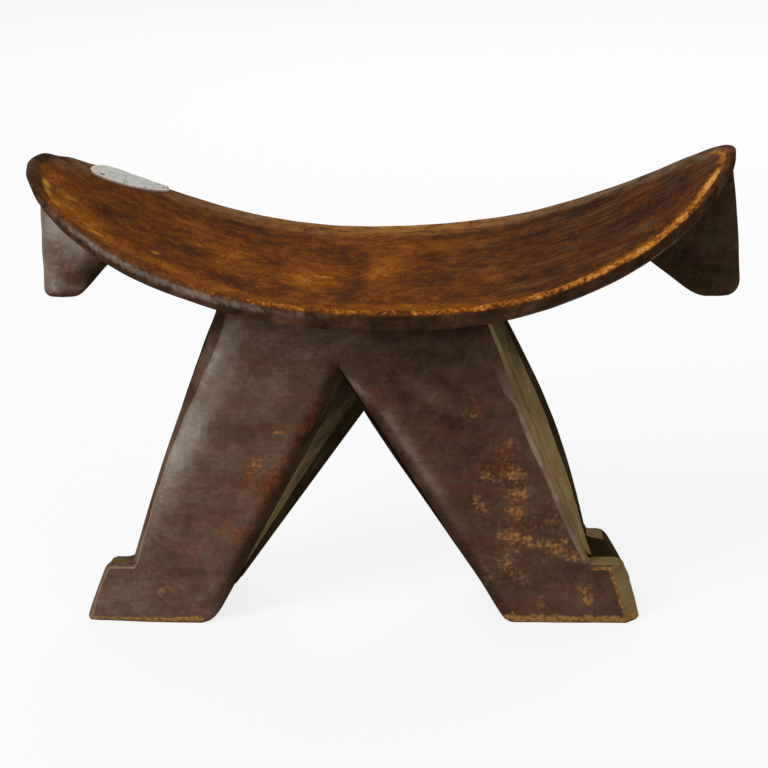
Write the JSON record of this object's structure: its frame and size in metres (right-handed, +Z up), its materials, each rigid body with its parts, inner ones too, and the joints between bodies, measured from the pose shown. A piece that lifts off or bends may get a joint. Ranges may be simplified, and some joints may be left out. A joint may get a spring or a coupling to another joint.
{
  "type": "stool",
  "caption": "Carved wooden stool: a saddle seat with a lug under each end, on splayed forked legs with toed feet, mended at its edge with a nailed sheet-metal patch.",
  "frame": {"origin": "on the floor, under the middle of the seat's length and width", "axes": "+X along the seat to its right end, -Y towards the front, +Z up"},
  "size_m": [0.4999, 0.21, 0.343],
  "materials": {
    "seat_wood": "polished by use, orange brown with darker streaks",
    "lug_wood": "dark stained, satin",
    "leg_wood": "dark stained, satin, worn at the edges",
    "web_wood": "raw and dull, grey olive",
    "foot_wood": "dark, worn pale along the soles",
    "patch_metal": "bright hammered tin",
    "nail_metal": "dulled nail heads"
  },
  "bodies": {
    "root": {"seat": "seat_wood", "left_end_lug": "lug_wood", "right_end_lug": "lug_wood", "left_front_leg": "leg_wood", "right_front_leg": "leg_wood", "left_rear_leg": "leg_wood", "right_rear_leg": "leg_wood", "left_web": "web_wood", "right_web": "web_wood", "left_front_foot": "foot_wood", "right_front_foot": "foot_wood", "left_rear_foot": "foot_wood", "right_rear_foot": "foot_wood", "metal_patch": "patch_metal", "patch_nails": "nail_metal"}
  },
  "joints": []
}
